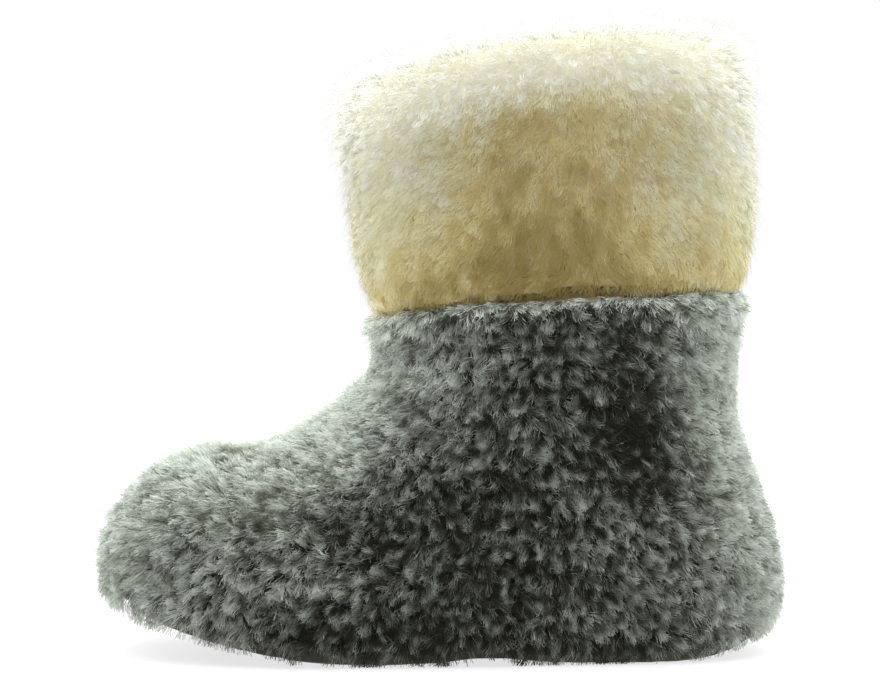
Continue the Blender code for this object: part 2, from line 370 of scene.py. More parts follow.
def cuff_edge(y):
    """Height of the cuff's turned-down edge."""
    return np.interp(y, (-43.0, 128.5), (139.2, 147.0))


def above_edge(points):
    return points[:, 2] - cuff_edge(points[:, 1])


def cuff_hem(points, low, high):
    """1 up to a low height over the cuff's turned-down edge, 0 from a high one."""
    return 1 - smoothstep(low, high, above_edge(points))


def under_cuff(points):
    """1 where the grey pile meets the cuff, 0 from 9 mm below it."""
    return smoothstep(-9.0, -1.0, above_edge(points))


def cuff_rim(points):
    """1 along the rolled rim, 0 from two fingers' width below it."""
    top = np.interp(points[:, 1], (-43.0, 20.0, 70.0, 128.0), (222.0, 238.0, 247.0, 243.0))
    width = np.interp(points[:, 1], (-43.0, 20.0, 60.0, 80.0, 128.0), (37.0, 28.0, 29.0, 38.0, 34.0))
    return smoothstep(0.0, 1.0, 1 + (points[:, 2] - top + 8.0) / (width - 8.0))


def out_of_shaft(points):
    """Level, straight out from the shaft's axis."""
    return unit((points - SHAFT_AXIS) * LEVEL)


def sole_up(y):
    """Height of the outsole's underside, sprung at the toe and lifted at the heel."""
    toe = 18.0 * np.clip((-38.0 - y) / 92.0, 0, 1) ** 1.5
    heel = 8.0 * np.clip((y - 90.0) / 40.0, 0, 1) ** 2
    return toe + heel


def near_hem(points):
    """1 at the grey pile's bottom edge, 0 from a finger's width above it."""
    return 1 - smoothstep(3.0, 15.0, points[:, 2] - sole_up(points[:, 1]))


def end_share(normals, power):
    """0 where a surface faces straight to the side or down, 1 where it has turned away from that."""
    return 1 - (normals[:, 0] ** 2 + np.minimum(normals[:, 2], 0) ** 2) ** power


def least_height(points, slack):
    """No strand hangs far below the sole's underside, except round the toe, or touches the floor."""
    below = 0.4 + 1.4 * smoothstep(-108.0, -128.0, points[:, 1])
    return np.maximum(sole_up(points[:, 1]) - below * (0.5 + 0.5 * slack), FLOOR_CLEAR)


def rounded_over(points, normals, share):
    """Normals turned, by a share, towards between up and out from the shaft."""
    out = out_of_shaft(points)
    outer = 2 * smoothstep(-0.95, -0.55, np.einsum("ij,ij->i", normals, out)) - 1
    halfway = unit(out * outer[:, None] + 1.35 * UP)
    return unit(normals * (1 - share[:, None]) + halfway * share[:, None])


# ---------------------------------------------------------------- how the pile lies


def grey_comb(points, normals):
    """Forwards and down over the toe, down the sides, and round to the back at the heel."""
    y = points[:, 1]
    meets_cuff = under_cuff(points)
    back = smoothstep(-70.0, 118.0, y)
    comb = np.zeros_like(points)
    comb[:, 1] = -0.75 + 1.55 * back
    comb[:, 2] = -0.8 - 0.35 * np.sin(np.pi * back) + 0.35 * smoothstep(60.0, 110.0, y)
    comb[:, 1] -= 0.6 * meets_cuff
    comb[:, 2] -= 0.5 * meets_cuff + 3.0 * near_hem(points)
    return comb


def cuff_comb(points, normals):
    """Down inside the mouth, round it along its inner edge, outwards over the roll, then down."""
    out = out_of_shaft(points)
    hem = cuff_hem(points, 2.0, 14.0)
    comb = out * (0.9 - 1.6 * hem)[:, None]
    comb[:, 1] += -0.42 * (1 - smoothstep(10.0, 90.0, points[:, 1]))
    comb[:, 2] = -1.0
    inwards = -np.einsum("ij,ij->i", normals, out)
    inside = (smoothstep(0.0, 0.3, inwards) * (1 - hem))[:, None]
    turn = np.pi * smoothstep(0.2, 0.95, inwards)[:, None]
    around = np.cross(UP, out)
    over = np.cross(around, normals)
    return comb * (1 - inside) + (over * np.cos(turn) + around * np.sin(turn)) * inside


def lining_comb(points, normals):
    """Down and forwards."""
    return np.zeros_like(points) + np.array([0.0, -0.5, -1.0])


def insole_comb(points, normals):
    """Forwards."""
    return np.zeros_like(points) + np.array([0.0, -1.0, 0.0])


def grey_reach(points):
    """The pile is shorter where it meets the cuff and longer at its bottom edge."""
    return 1 - 0.15 * under_cuff(points) + 0.2 * near_hem(points)


def hem_steady(points):
    """The bottom edge's strands all hang the same way."""
    return 0.75 * near_hem(points)


def hem_laid(points):
    """The bottom edge's strands lie close, so that they cover the sole's edge."""
    return 0.35 * near_hem(points) * smoothstep(-122.0, -96.0, points[:, 1])


def cuff_reach(points):
    """The pile is shorter on the turned-down edge."""
    return 1 - 0.25 * cuff_hem(points, 1.0, 9.0)


def grey_tone(points, tips):
    """Darker in the creases, low down and at the cuff's edge, all painted shade; patched, partly
    with painted light and shade; and slantingly streaked just under the cuff.
    """
    low = 1 - smoothstep(8.0, 55.0, points[:, 2])
    places = patch_tone(points, GREY_LIGHT_AND_TONE_PATCHES)
    x, y, z = tips.T
    slanted = np.stack([x, 0.64 * y - 0.77 * z, 0.25 * (0.77 * y + 0.64 * z)], axis=1)
    streaks = soft_noise(slanted, 2.6, 21)
    above = z - cuff_edge(y)
    streaked = smoothstep(-14.0, -7.0, above) * (0.50 * streaks - 0.04)
    # Painted shade where the grey pile meets the cuff.
    shade = 0.10 * smoothstep(-4.0, 0.0, above)
    # Painted shade in the creases and low down; painted light and shade in the patches.
    return streaked - shade - 0.06 * crease_depth(points) - 0.06 * low + places


def cuff_tone(points, tips):
    """Paler along the rim as painted light, deeper towards the turned-down edge as painted shade,
    and patched, partly with painted light and shade.
    """
    hem = cuff_hem(points, 0.0, 60.0)
    return 0.065 + 0.16 * cuff_rim(points) - 0.42 * hem + patch_tone(points, CUFF_LIGHT_AND_TONE_PATCHES)


# ---------------------------------------------------------------- strands


def nowhere(points):
    return np.zeros(len(points))


def everywhere(points):
    return np.ones(len(points))


def no_change(points, tips):
    return 0.0


class Pile:
    """How one kind of pile grows, in mm, radians and tone. What isn't given is as below.

    tuft, length, width: how wide a tuft is, and how long and wide a strand is
    stand: the pile's height, as a share of the depth its skin is taken in
    curl: how much less than its lean a strand leans below its knee, and more above it
    curved: share of strands that are curved; the others are cut blades
    cut_from, cut_width: how far up a cut blade starts, and how wide its cut end is
    gather, strays: how far strands draw in to their tuft's middle, and the share that don't
    dome: how much shorter a tuft's outer strands are
    tuft_turn, swirl, swirl_size, tuft_length: how tufts vary in direction and in length
    stray_turn, stray_length, stray_lean: how strands vary in direction, length and lean
    tuft_tone, patch_tone, cloud_tone, strand_tone: how tone varies from tuft to tuft, over wide
        patches, over small clouds and from strand to strand
    fleck_share, fleck_tone: share of strands that are flecks, and their change of tone
    spot_size, spot_shape, spot_tone, pit: the dark and light spots, and how far dark ones sink
    painted_side_shade, painted_end_light, end_reach, end_calm, end_power: painted shade at the sides,
    and painted light, extra length, evenness and reach of the ends, where the surface turns away from
    the side flying, end_flying, fly_most, fly_narrow, flying_tone: share of strands that stand out, on
        the sides and on the outline, how far, how narrow that outline is, and their own tone
    least_tone: the darkest that other strands may be
    roll, soft_normal: how strands twist, and how much of their shading is the skin's
    reach, steady, laid, rim, rim_lift, under, place_tone: how the pile differs from place to place;
    place_tone partly paints light and shade
    """

    stand = 1.0
    roll = 0.75
    end_power = 3.0
    painted_side_shade = painted_end_light = end_reach = end_calm = 0.0
    cloud_tone = rim_lift = flying = end_flying = flying_tone = 0.0
    fly_most = 1.4
    fly_narrow = 8
    least_tone = 0.06
    under = None
    steady = laid = rim = staticmethod(nowhere)
    reach = staticmethod(everywhere)
    place_tone = staticmethod(no_change)

    def __init__(self, **facts):
        self.__dict__.update(facts)

    def spots(self, points, seed):
        return soft_noise(points * self.spot_shape, self.spot_size, seed)


GREY = Pile(
    tuft=3.3, length=9.8, width=0.255, stand=1.15, curl=0.45,
    curved=0.06, cut_from=0.7, cut_width=0.95, gather=0.44, strays=0.12, dome=0.26,
    tuft_turn=0.6, swirl=0.5, swirl_size=30.0, tuft_length=0.10,
    stray_turn=0.75, stray_length=0.10, stray_lean=0.22,
    tuft_tone=0.03, patch_tone=0.07, cloud_tone=0.13, strand_tone=0.02,
    fleck_share=0.03, fleck_tone=-0.2,
    spot_size=3.4, spot_shape=(1.0, 1.0, 0.85), spot_tone=0.39, pit=0.28,
    painted_side_shade=-0.25, painted_end_light=0.48, end_reach=0.12, end_calm=0.35,
    flying=0.010, end_flying=0.010, least_tone=0.02, soft_normal=0.97,
    reach=grey_reach, steady=hem_steady, laid=hem_laid, under=cuff_edge, place_tone=grey_tone,
)
CREAM = Pile(
    tuft=3.6, length=8.6, width=0.275, stand=1.15, curl=0.3,
    curved=0.08, cut_from=0.7, cut_width=0.95, gather=0.40, strays=0.15, dome=0.20,
    tuft_turn=0.25, swirl=0.35, swirl_size=34.0, tuft_length=0.08,
    stray_turn=0.6, stray_length=0.08, stray_lean=0.24,
    tuft_tone=0.025, patch_tone=0.06, cloud_tone=0.10, strand_tone=0.015,
    fleck_share=0.03, fleck_tone=0.16,
    spot_size=5.5, spot_shape=(1.0, 1.0, 0.5), spot_tone=0.19, pit=0.3,
    painted_side_shade=-0.11, painted_end_light=0.35, end_calm=0.75, end_power=2.0,
    flying=0.004, end_flying=0.20, fly_most=1.8, fly_narrow=30, flying_tone=0.02, soft_normal=0.97,
    reach=cuff_reach, rim=cuff_rim, rim_lift=0.85, place_tone=cuff_tone,
)
LINING = Pile(
    tuft=5.0, length=5.5, width=0.50, curl=0.2,
    curved=0.3, cut_from=0.5, cut_width=1.0, gather=0.35, strays=0.2, dome=0.2,
    tuft_turn=0.5, swirl=0.5, swirl_size=22.0, tuft_length=0.1,
    stray_turn=0.4, stray_length=0.14, stray_lean=0.2,
    tuft_tone=0.10, patch_tone=0.08, strand_tone=0.10,
    fleck_share=0.08, fleck_tone=-0.2,
    spot_size=6.0, spot_shape=(1.0, 1.0, 1.0), spot_tone=0.1, pit=0.2,
    soft_normal=0.6,
)

TUFT_CROWD = 6  # places tried for each tuft
TUFTS_APART = 0.86  # least distance between tufts' middles, in tufts
PATCH_SIZE = 22.0
CLOUD_SIZE = 8.0
LEAST_RISE, MOST_RISE = 0.10, 0.88  # a strand's rise from its skin, as a share of its length
MOST_LEAN = 1.75
FLYING_THIN = 0.5
UV_HALF_WIDTH = 0.004  # of a blade, across the tone
ROOT_V, KNEE_V, TIP_V = 0.01, 0.5, 0.99


class Ground:
    """The skin that a pile grows from: its surface, and the pile's height over each vertex."""

    def __init__(self, surface, roots, pile, grows):
        self.roots = roots
        self.normals = surface.normals
        self.pile = pile
        self.triangles = surface.triangles[grows[surface.triangles].all(axis=1)]
        a, b, c = (roots[self.triangles[:, k]] for k in range(3))
        self.areas = np.linalg.norm(np.cross(b - a, c - a), axis=1) / 2

    def scatter(self, count, rng):
        """Points spread evenly over the part of the skin that grows pile."""
        steps = np.cumsum(self.areas)
        picked = np.searchsorted(steps, (np.arange(count) + rng.random(count)) / count * steps[-1])
        picked = np.minimum(picked, len(self.triangles) - 1)
        u, v = rng.random((2, count))
        folded = u + v > 1
        u[folded], v[folded] = 1 - u[folded], 1 - v[folded]
        weights = np.stack([1 - u - v, u, v], axis=1)
        corners = self.triangles[picked]
        points = np.einsum("ij,ijk->ik", weights, self.roots[corners])
        normals = np.einsum("ij,ijk->ik", weights, self.normals[corners])
        normals /= np.linalg.norm(normals, axis=1, keepdims=True)
        pile = np.einsum("ij,ij->i", weights, self.pile[corners])
        return points, normals, pile


def point_tree(points):
    tree = KDTree(len(points))
    for k, point in enumerate(points):
        tree.insert(point, k)
    tree.balance()
    return tree


def thinned(points, spacing):
    """Which of the points are kept so that no two are closer than the spacing."""
    tree = point_tree(points)
    kept = np.ones(len(points), bool)
    for k, point in enumerate(points):
        if kept[k]:
            for _, other, _ in tree.find_range(point, spacing):
                if other > k:
                    kept[other] = False
    return kept


def leant(roots, normals, way, lean, length, curl):
    """Knees and tips of strands that lean one way, and more towards their tips."""
    half = 0.5 * length[:, None]

    def step(angle):
        return (np.cos(angle)[:, None] * normals + np.sin(angle)[:, None] * way) * half

    knees = roots + step(lean - curl)
    return knees, knees + step(np.minimum(lean + curl, MOST_LEAN))


class Tufts:
    """A pile's tufts: their middles, and how each turns, reaches, is toned and draws in."""

    def __init__(self, ground, kind, comb, seed, rng):
        crowd = int(ground.areas.sum() / kind.tuft**2 * TUFT_CROWD)
        centres, normals, pile = ground.scatter(crowd, rng)
        order = rng.permutation(crowd)
        order = order[thinned(centres[order], kind.tuft * TUFTS_APART)]
        centres, normals, pile = centres[order], normals[order], pile[order]
        count = len(centres)
        sway = soft_noise(centres, kind.swirl_size, seed)
        self.turn = rng.normal(0, kind.tuft_turn, count) + sway * kind.swirl
        self.length = kind.length * rng.normal(1, kind.tuft_length, count)
        self.tone = rng.normal(0, kind.tuft_tone, count)
        self.tone += soft_noise(centres, PATCH_SIZE, seed + 3) * kind.patch_tone
        clouds = kind.cloud_tone * (0.9 + 0.7 * end_share(normals, kind.end_power))
        self.tone += soft_noise(centres, CLOUD_SIZE, seed + 4) * clouds
        self.gather = np.clip(rng.normal(kind.gather, 0.12, count), 0.05, 0.92)
        self.centres = centres
        self.tree = point_tree(centres)

        # The strand that would grow from each middle.
        length = self.length * kind.reach(centres)
        way = turned(along_surface(comb(centres, normals), normals), normals, self.turn)
        lean = np.arccos(np.clip(pile * kind.stand / length, LEAST_RISE, MOST_RISE))
        self.knees, self.tips = leant(centres, normals, way, lean, length, kind.curl)

    def owners(self, points):
        return np.array([self.tree.find(p)[1] for p in points])

    def draw_in(self, knees, tips, owner, shorter, gather):
        """Move strands towards the one that would grow from their tuft's middle."""
        centres = self.centres[owner]
        middle_knees = centres + (self.knees[owner] - centres) * shorter
        middle_tips = centres + (self.tips[owner] - centres) * shorter
        knees += (middle_knees - knees) * gather * 0.38
        tips += (middle_tips - tips) * gather


class Strands:
    """Arrays with a row for each strand, and the random numbers they are drawn with."""

    def __init__(self, rng, **facts):
        self.rng = rng
        self.facts = facts
        self.__dict__.update(facts)

    def picked(self, choice):
        """The strands that a mask, an order or a slice picks."""
        return Strands(self.rng, **{name: rows[choice] for name, rows in self.facts.items()})


def strand_tone(kind, seed, rng, points, tips, tuft_tone, ends, flying):
    count = len(points)
    tone = 0.5 + tuft_tone + rng.normal(0, kind.strand_tone, count)
    # Painted light and shade: darker where the skin faces the side, paler at the ends and the cuff's
    # rim.
    tone += kind.painted_side_shade * (1 - ends) + kind.painted_end_light * ends
    tone += kind.spot_tone * kind.spots(tips, seed) * (1 - kind.end_calm * ends)
    tone += kind.place_tone(points, tips)
    fleck = rng.random(count) < kind.fleck_share
    tone = np.where(fleck, tone + kind.fleck_tone, tone)
    own_tone = flying & (kind.flying_tone > 0)
    return np.clip(np.where(own_tone, kind.flying_tone, np.maximum(tone, kind.least_tone)), 0.02, 0.98)


def keep_clear(points, slack, kind, over):
    """Hold knees or tips off the floor and, where the pile has an upper edge, below that."""
    points[:, 2] = np.maximum(points[:, 2], least_height(points, slack))
    if kind.under:
        points[:, 2] = np.minimum(points[:, 2], kind.under(points[:, 1]) - 1.2 * slack + over)


def grow(ground, count, kind, comb, seed):
    """The strands of one pile: roots, knees, tips, shading normals, thinness and tone."""
    rng = np.random.default_rng(seed)
    tufts = Tufts(ground, kind, comb, seed, rng)
    roots, normals, pile = ground.scatter(count, rng)
    owner = tufts.owners(roots)
    loose = 1 - kind.steady(roots)
    angle = (tufts.turn[owner] + rng.normal(0, kind.stray_turn, count)) * loose
    way = turned(along_surface(comb(roots, normals), normals), normals, angle)

    ends = end_share(normals, kind.end_power)
    outline = ends**kind.fly_narrow
    rim = kind.rim(roots)
    # The cuff's rim counts as an end, so it is painted paler too.
    ends = np.maximum(ends, rim)
    shallow = 1 - kind.pit * smoothstep(0.15, 0.65, -kind.spots(roots, seed + 5))
    length = tufts.length[owner] * rng.normal(1, kind.stray_length, count)
    length *= (1 + kind.end_reach * ends) * shallow
    pile = pile * kind.stand * shallow
    pile *= 1 - kind.laid(roots)
    flying = rng.random(count) < kind.flying + kind.end_flying * outline
    length = np.where(flying, length * rng.uniform(1.1, kind.fly_most, count), length)
    pile = np.where(flying, pile * rng.uniform(1.15, kind.fly_most, count), pile)
    length *= kind.reach(roots)

    apart = np.linalg.norm(roots - tufts.centres[owner], axis=1) / (0.62 * kind.tuft)
    dome = 1 - kind.dome * np.clip(apart, 0, 1.2) ** 2
    length = np.clip(length * dome, 0.4 * kind.length, 2.2 * kind.length)
    lean = np.arccos(np.clip(pile * dome / length, LEAST_RISE, MOST_RISE))
    lean += rng.normal(0, 1, count) * kind.stray_lean * (1 - kind.end_calm * ends)
    knees, tips = leant(roots, normals, way, lean, length, kind.curl)

    gather = tufts.gather[owner] * loose
    free = flying | (rng.random(count) < kind.strays)
    gather = np.where(free, gather * 0.15, gather)
    tufts.draw_in(knees, tips, owner, dome[:, None], gather[:, None])
    slack = rng.random(count)
    keep_clear(knees, slack, kind, 0.0)
    keep_clear(tips, slack, kind, 0.6)

    tone = strand_tone(kind, seed + 5, rng, roots, tips, tufts.tone[owner], ends, flying)
    facing = rounded_over(roots, normals, kind.rim_lift * rim)
    thin = np.where(flying, FLYING_THIN, 1.0)
    return Strands(
        rng, roots=roots, knees=knees, tips=tips, normals=normals, facing=facing, thin=thin, tone=tone
    )


def blade_mesh(name, bent, cut):
    """One mesh from curved strands, a tapering quad and a tip each, and from cut blades of one
    triangle each. Each kind is given as points, UVs and a normal for each strand."""
    (bent_points, bent_uvs, bent_normals), (cut_points, cut_uvs, cut_normals) = bent, cut
    curved, rest = len(bent_points), len(cut_points)
    points = np.concatenate([bent_points.reshape(-1, 3), cut_points.reshape(-1, 3)])
    points[:, 2] = np.maximum(points[:, 2], FLOOR_CLEAR * 0.5)
    loops = np.concatenate([
        (np.arange(curved)[:, None] * 5 + np.array([0, 1, 3, 2, 2, 3, 4])).ravel(),
        (curved * 5 + np.arange(rest)[:, None] * 3 + np.array([0, 2, 1])).ravel(),
    ])
    starts = np.concatenate([
        (np.arange(curved)[:, None] * 7 + np.array([0, 4])).ravel(),
        curved * 7 + np.arange(rest) * 3,
    ])
    mesh = bpy.data.meshes.new(name)
    mesh.vertices.add(len(points))
    mesh.vertices.foreach_set("co", (points * MM).astype(np.float32).ravel())
    mesh.loops.add(len(loops))
    mesh.loops.foreach_set("vertex_index", loops.astype(np.int32))
    mesh.polygons.add(len(starts))
    mesh.polygons.foreach_set("loop_start", starts.astype(np.int32))
    mesh.update(calc_edges=True)
    uv = mesh.uv_layers.new(name="OFBake")
    uv.data.foreach_set("uv", np.concatenate([bent_uvs.ravel(), cut_uvs.ravel()]))
    mesh.shade_smooth()
    normals = np.concatenate([np.repeat(bent_normals, 5, axis=0), np.repeat(cut_normals, 3, axis=0)])
    mesh.normals_split_custom_set_from_vertices(normals.astype(np.float32).tolist())
    return mesh


def blade_uvs(tone, sides, heights):
    """UVs for each strand's loops: its tone across, and its height from root to tip."""
    uvs = np.empty((len(tone), len(sides), 2), np.float32)
    uvs[:, :, 0] = tone[:, None] + np.array(sides) * UV_HALF_WIDTH
    uvs[:, :, 1] = np.array(heights)
    return uvs


def curved_blades(strands):
    side = strands.across * strands.half
    knee_side = side * 0.85
    roots, knees = strands.roots, strands.knees
    points = np.stack(
        [roots - side, roots + side, knees - knee_side, knees + knee_side, strands.tips], axis=1
    )
    heights = (ROOT_V, ROOT_V, KNEE_V, KNEE_V, KNEE_V, KNEE_V, TIP_V)
    return points, blade_uvs(strands.tone, (-1, 1, 1, -1, -1, 1, 0), heights), strands.facing


def cut_blades(strands, kind):
    """Blades that are widest at their cut ends."""
    start = strands.roots + (strands.knees - strands.roots) * kind.cut_from
    side = strands.across * (strands.half * kind.cut_width)
    points = np.stack([start, strands.tips - side, strands.tips + side], axis=1)
    heights = (KNEE_V * kind.cut_from, TIP_V, TIP_V)
    return points, blade_uvs(strands.tone, (0, 1, -1), heights), strands.facing


def strand_piece(name, strands, kind, material):
    """The strands as one mesh. The flying ones are sorted first, so they are curved ones."""
    rng = strands.rng
    count = len(strands.roots)
    strands = strands.picked(np.lexsort((rng.random(count), strands.thin)))
    along = unit(strands.tips - strands.roots)
    across = unit(np.cross(along, strands.normals))
    roll = rng.normal(0, kind.roll, count)
    face = np.cross(across, along)
    across = across * np.cos(roll)[:, None] + face * np.sin(roll)[:, None]
    own = unit(np.cross(across, along)) * (1 - kind.soft_normal)
    facing = unit(strands.facing * kind.soft_normal + own)
    half = kind.width * 0.5 * (strands.thin * rng.uniform(0.75, 1.25, count))[:, None]
    facts = dict(strands.facts, across=across, facing=facing, half=half)
    strands = Strands(rng, **facts)
    curved = int(count * kind.curved)
    bent = curved_blades(strands.picked(slice(0, curved)))
    cut = cut_blades(strands.picked(slice(curved, count)), kind)
    mesh = blade_mesh(name, bent, cut)
    mesh.materials.append(material)
    return link(bpy.data.objects.new(name, mesh))


# ---------------------------------------------------------------- materials


class Nodes:
    """A short way to wire a material or the world."""

    def __init__(self, tree, output):
        self.tree = tree
        self.tree.nodes.clear()
        self.output = self.add(output)

    def add(self, kind, inputs=None, **settings):
        """A new node. Each input, by name or number, is joined to a socket or given a value."""
        node = self.tree.nodes.new(kind)
        for key, value in settings.items():
            setattr(node, key, value)
        for key, value in (inputs or {}).items():
            if isinstance(value, bpy.types.NodeSocket):
                self.tree.links.new(value, node.inputs[key])
            else:
                node.inputs[key].default_value = value
        return node

    def finish(self, shader):
        self.tree.links.new(shader, self.output.inputs["Surface"])

    def ramp(self, source, stops):
        node = self.add("ShaderNodeValToRGB", {"Fac": source})
        elements = node.color_ramp.elements
        while len(elements) < len(stops):
            elements.new(0.5)
        for element, (place, color) in zip(elements, stops):
            element.position = place
            element.color = (*color, 1.0) if hasattr(color, "__len__") else (color, color, color, 1.0)
        return node.outputs["Color"]

    def mix(self, share, first, second):
        node = self.add("ShaderNodeMix", {0: share, 6: first, 7: second}, data_type="RGBA")
        return node.outputs[2]

    def noise(self, scale, detail=4.0, roughness=0.6, distortion=0.0):
        inputs = {"Scale": scale, "Detail": detail, "Roughness": roughness, "Distortion": distortion}
        inputs["Vector"] = self.add("ShaderNodeTexCoord").outputs["Object"]
        return self.add("ShaderNodeTexNoise", inputs).outputs["Fac"]

    def math(self, operation, first, second):
        return self.add("ShaderNodeMath", {0: first, 1: second}, operation=operation).outputs[0]

    def eased(self, source, low, high):
        inputs = {"Value": source, "From Min": low, "From Max": high}
        node = self.add("ShaderNodeMapRange", inputs, interpolation_type="SMOOTHSTEP")
        return node.outputs["Result"]


def new_material(name):
    material = bpy.data.materials.new(name)
    material.use_nodes = True
    return material, Nodes(material.node_tree, "ShaderNodeOutputMaterial")


def strand_material(name, tips, roots, root_to_tip, sheen, glow):
    """Pile: the strand's tone picks its root and tip colours, and its length fades one to the other."""
    material, nodes = new_material(name)
    uv = nodes.add("ShaderNodeUVMap", uv_map="OFBake")
    split = nodes.add("ShaderNodeSeparateXYZ", {"Vector": uv.outputs["UV"]})
    tone, height = split.outputs["X"], split.outputs["Y"]
    color = nodes.mix(nodes.ramp(height, root_to_tip), nodes.ramp(tone, roots), nodes.ramp(tone, tips))
    shader = nodes.add("ShaderNodeBsdfPrincipled", {
        "Base Color": color,
        "Roughness": nodes.ramp(height, ((0.0, 0.95), (1.0, 0.62))),
        "Specular IOR Level": 0.12,
        "Sheen Weight": sheen,
        "Sheen Roughness": 0.45,
    })
    through = nodes.add("ShaderNodeBsdfTranslucent", {"Color": color})
    both = nodes.add("ShaderNodeMixShader", {"Fac": glow, 1: shader.outputs[0], 2: through.outputs[0]})
    nodes.finish(both.outputs["Shader"])
    return material


def felt_material(name, colors, bump_mm, rough=0.95, pale=None):
    """The matted wool under a pile, or a brushed hide: two scales of mottling with a nap. With a
    paler pair of colours, painted light, the mesh's "pale" attribute fades to them."""
    material, nodes = new_material(name)
    patches = nodes.noise(60.0, 5.0, 0.6)
    fibres = nodes.noise(900.0, 6.0, 0.7, distortion=1.2)
    both = nodes.mix(0.5, patches, fibres)
    color = nodes.ramp(both, ((0.3, colors[0]), (0.7, colors[1])))
    if pale:
        share = nodes.add("ShaderNodeAttribute", attribute_name="pale")
        lit_color = nodes.ramp(both, ((0.3, pale[0]), (0.7, pale[1])))
        color = nodes.mix(share.outputs["Fac"], color, lit_color)
    bump = nodes.add("ShaderNodeBump", {"Strength": 0.6, "Distance": bump_mm * MM, "Height": fibres})
    shader = nodes.add("ShaderNodeBsdfPrincipled", {
        "Base Color": color,
        "Roughness": nodes.ramp(fibres, ((0.2, rough - 0.12), (0.8, rough))),
        "Specular IOR Level": 0.2,
        "Sheen Weight": 0.1,
        "Normal": bump.outputs["Normal"],
    })
    nodes.finish(shader.outputs["BSDF"])
    return material


# ---------------------------------------------------------------- skins

UPPER_VOXEL, CUFF_VOXEL, INSOLE_VOXEL, OUTSOLE_VOXEL = 3.2, 3.0, 3.0, 2.2
LEAST_INSET = 0.4
FELT_BUMP = 0.8
SUEDE_BUMP = 0.5

GREY_INSET, LINING_INSET = 8.3, 3.2  # how far each face of the upper is taken in
GREY_MOST, LINING_MOST = 0.66, 0.24  # and the most, as a share of the wall
SHOULDER_INSET = 2.4  # the grey face where the cuff rests on it
SLEEVE_FOOT = 6.0  # above this over the cuff's edge, the upper is a sleeve inside the cuff

GREY_LUMP, GREY_LUMP_SIZE = 0.9, 26.0
CUFF_LUMP, CUFF_LUMP_SIZE = 1.1, 30.0

CUFF_INSET = 7.0
CUFF_MOST = 0.42
TUCK = 3.0  # how far the cuff's front is drawn in, low down

INSOLE_INSET = 2.6
SOLE_TUCK = 2.6  # how far the outsole's edge is tucked in under the pile


def take_in(piece, roots):
    piece.data.vertices.foreach_set("co", (roots * MM).astype(np.float32).ravel())
    piece.data.update()


def give_painted_light(piece, share):
    """How far each vertex's felt fades to its paler pair of colours, which are painted light."""
    attribute = piece.data.attributes.new("pale", "FLOAT", "POINT")
    attribute.data.foreach_set("value", share.astype(np.float32))


def upper_inset(surface, outer, above, crease):
    """How far each vertex of the upper is taken in."""
    shoulder = smoothstep(-9.0, -3.0, above) * outer
    want = np.where(outer, GREY_INSET + crease, LINING_INSET)
    most = np.where(outer, GREY_MOST, LINING_MOST) * thickness(surface)
    inset = np.minimum(want, most) * (1 - shoulder) + SHOULDER_INSET * shoulder
    facing_down = smoothstep(0.2, 0.8, -surface.normals[:, 2])
    inset *= 1 - 0.8 * facing_down * near_hem(surface.points) * outer
    return np.clip(surface.smoothed(inset, 6), LEAST_INSET, None)


def upper_pile(points, inset, crease, outer, above):
    """The pile's height: up to the solid's face, and a little more at the cuff, toe and heel."""
    y, z = points[:, 1], points[:, 2]
    shoulder = smoothstep(-9.0, -3.0, above) * outer
    pile = np.where(outer, inset - crease, inset)
    pile += 2.2 * shoulder * smoothstep(-20.0, 60.0, y)
    toe = 1.6 * smoothstep(-105.0, -132.0, y)
    heel = 1.2 * smoothstep(108.0, 132.0, y) * smoothstep(60.0, 30.0, z)
    return pile + (toe + heel)


def make_upper():
    """The grey outside and the cream lining grow from one skin."""
    piece = remeshed("upper", "upper_skin", UPPER_VOXEL, 3)
    surface = Surface(piece.data)
    points, normals = surface.points, surface.normals
    above = above_edge(points)
    outer = facing_out(points, normals) & (above < SLEEVE_FOOT)
    crease = np.where(outer, crease_depth(points), 0.0)
    crease += np.where(outer, GREY_LUMP * soft_noise(points, GREY_LUMP_SIZE, 2), 0.0)
    inset = upper_inset(surface, outer, above, crease)
    roots = points - normals * inset[:, None]
    pile = upper_pile(points, inset, crease, outer, above)

    ledge = (normals[:, 2] > 0.9) & (above > -1.5) & (above < SLEEVE_FOOT)
    bare = ledge | (distance_to(points, ["cuff"]) < 0.4)
    bare |= distance_to(points, ["outsole", "insole"]) < 1.0
    underside = normals[:, 2] <= -0.6 - 0.25 * smoothstep(-100.0, -120.0, points[:, 1])
    outside = Ground(surface, roots, pile, outer & ~underside & ~bare)
    inside = Ground(surface, roots, pile, ~outer & ~bare)

    take_in(piece, roots)
    piece.data.materials.append(felt_material("grey_felt", GREY_FELT, FELT_BUMP, pale=LIT_GREY_FELT))
    piece.data.materials.append(felt_material("cream_felt", CREAM_FELT, FELT_BUMP))
    # Painted light: the grey felt is paler at the ends, where the pile is painted paler.
    give_painted_light(piece, surface.smoothed(smoothstep(0.25, 0.95, end_share(normals, 3.0)), 4))
    faces = piece.data.polygons
    first = read(faces, "loop_start", 1, int).ravel()
    corner = read(piece.data.loops, "vertex_index", 1, int).ravel()[first]
    grey_side = outer[corner] & (above[corner] < 0.3)
    faces.foreach_set("material_index", np.where(grey_side, 0, 1).astype(np.int32))
    return piece, outside, inside


